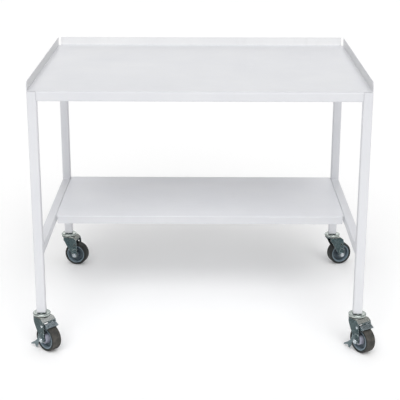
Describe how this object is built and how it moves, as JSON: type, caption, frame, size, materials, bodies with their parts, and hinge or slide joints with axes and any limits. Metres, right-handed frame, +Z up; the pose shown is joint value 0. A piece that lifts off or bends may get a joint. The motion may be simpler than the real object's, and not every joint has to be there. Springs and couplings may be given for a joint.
{
  "type": "instrument cart",
  "caption": "Wheeled two-tier cart: white square-tube frame, sheet worktop with raised side and rear edges, set-back lower shelf, swivel casters.",
  "frame": {"origin": "on the floor, under the middle of the bounding box of the cart with its casters at rest", "axes": "+X along the length, -Y towards the open front where the user stands, +Z up"},
  "size_m": [0.9894, 0.7604, 0.769],
  "materials": {
    "frame_paint": "white powder coat, fine orange peel, satin gloss",
    "fork_zinc": "zinc-plated pressed steel, slightly clouded",
    "bright_zinc": "bright zinc plating",
    "bearing_steel": "ground steel",
    "rim_plastic": "moulded blue-grey nylon",
    "tyre_rubber": "dark grey-brown rubber, dull",
    "insert_plastic": "pale grey moulded plug"
  },
  "bodies": {
    "frame": {"front_left_leg": "frame_paint", "front_right_leg": "frame_paint", "rear_left_leg": "frame_paint", "rear_right_leg": "frame_paint", "top_rail_front": "frame_paint", "top_rail_rear": "frame_paint", "top_rail_left": "frame_paint", "shelf_rail_left": "frame_paint", "top_rail_right": "frame_paint", "shelf_rail_right": "frame_paint", "worktop": "frame_paint", "lower_shelf": "frame_paint", "front_left_leg_insert": "insert_plastic", "front_left_stem": "bright_zinc", "front_left_swivel_cup": "fork_zinc", "front_right_leg_insert": "insert_plastic", "front_right_stem": "bright_zinc", "front_right_swivel_cup": "fork_zinc", "rear_left_leg_insert": "insert_plastic", "rear_left_stem": "bright_zinc", "rear_left_swivel_cup": "fork_zinc", "rear_right_leg_insert": "insert_plastic", "rear_right_stem": "bright_zinc", "rear_right_swivel_cup": "fork_zinc"},
    "front_left_swivel": {"front_left_ball_ring": "bearing_steel", "front_left_fork": "fork_zinc", "front_left_axle_bolt": "bright_zinc", "front_left_axle_nut": "bright_zinc", "front_left_axle_sleeve": "bearing_steel", "front_left_brake_rivet_a": "bright_zinc", "front_left_brake_rivet_b": "bright_zinc"},
    "front_left_wheel": {"front_left_wheel_rim": "rim_plastic", "front_left_tyre": "tyre_rubber"},
    "front_left_brake": {"front_left_brake_lever": "bright_zinc"},
    "front_right_swivel": {"front_right_ball_ring": "bearing_steel", "front_right_fork": "fork_zinc", "front_right_axle_bolt": "bright_zinc", "front_right_axle_nut": "bright_zinc", "front_right_axle_sleeve": "bearing_steel", "front_right_brake_rivet_a": "bright_zinc", "front_right_brake_rivet_b": "bright_zinc"},
    "front_right_wheel": {"front_right_wheel_rim": "rim_plastic", "front_right_tyre": "tyre_rubber"},
    "front_right_brake": {"front_right_brake_lever": "bright_zinc"},
    "rear_left_swivel": {"rear_left_ball_ring": "bearing_steel", "rear_left_fork": "fork_zinc", "rear_left_axle_bolt": "bright_zinc", "rear_left_axle_nut": "bright_zinc", "rear_left_axle_sleeve": "bearing_steel"},
    "rear_left_wheel": {"rear_left_wheel_rim": "rim_plastic", "rear_left_tyre": "tyre_rubber"},
    "rear_right_swivel": {"rear_right_ball_ring": "bearing_steel", "rear_right_fork": "fork_zinc", "rear_right_axle_bolt": "bright_zinc", "rear_right_axle_nut": "bright_zinc", "rear_right_axle_sleeve": "bearing_steel"},
    "rear_right_wheel": {"rear_right_wheel_rim": "rim_plastic", "rear_right_tyre": "tyre_rubber"}
  },
  "joints": [
    {"name": "front_left_swivel_turn", "type": "hinge", "parent": "frame", "child": "front_left_swivel", "pos_m": [-0.45891, -0.3196, 0.1], "axis": [0, 0, 1], "continuous": true},
    {"name": "front_left_wheel_spin", "type": "hinge", "parent": "front_left_swivel", "child": "front_left_wheel", "pos_m": [-0.43917, -0.33802, 0.03776], "axis": [0.682, 0.7314, 0], "continuous": true},
    {"name": "front_left_brake_press", "type": "hinge", "parent": "front_left_swivel", "child": "front_left_brake", "pos_m": [-0.4399, -0.33733, 0.0775], "axis": [0.682, 0.7314, 0], "range_deg": [0, 7]},
    {"name": "front_right_swivel_turn", "type": "hinge", "parent": "frame", "child": "front_right_swivel", "pos_m": [0.42969, -0.3196, 0.1], "axis": [0, 0, 1], "continuous": true},
    {"name": "front_right_wheel_spin", "type": "hinge", "parent": "front_right_swivel", "child": "front_right_wheel", "pos_m": [0.44479, -0.34199, 0.03776], "axis": [0.829, 0.5592, 0], "continuous": true},
    {"name": "front_right_brake_press", "type": "hinge", "parent": "front_right_swivel", "child": "front_right_brake", "pos_m": [0.44423, -0.34116, 0.0775], "axis": [0.829, 0.5592, 0], "range_deg": [0, 7]},
    {"name": "rear_left_swivel_turn", "type": "hinge", "parent": "frame", "child": "rear_left_swivel", "pos_m": [-0.45891, 0.341, 0.1], "axis": [0, 0, 1], "continuous": true},
    {"name": "rear_left_wheel_spin", "type": "hinge", "parent": "rear_left_swivel", "child": "rear_left_wheel", "pos_m": [-0.43283, 0.33401, 0.03776], "axis": [0.2588, 0.9659, 0], "continuous": true},
    {"name": "rear_right_swivel_turn", "type": "hinge", "parent": "frame", "child": "rear_right_swivel", "pos_m": [0.42969, 0.341, 0.1], "axis": [0, 0, 1], "continuous": true},
    {"name": "rear_right_wheel_spin", "type": "hinge", "parent": "rear_right_swivel", "child": "rear_right_wheel", "pos_m": [0.45537, 0.34934, 0.03776], "axis": [-0.309, 0.9511, 0], "continuous": true}
  ]
}
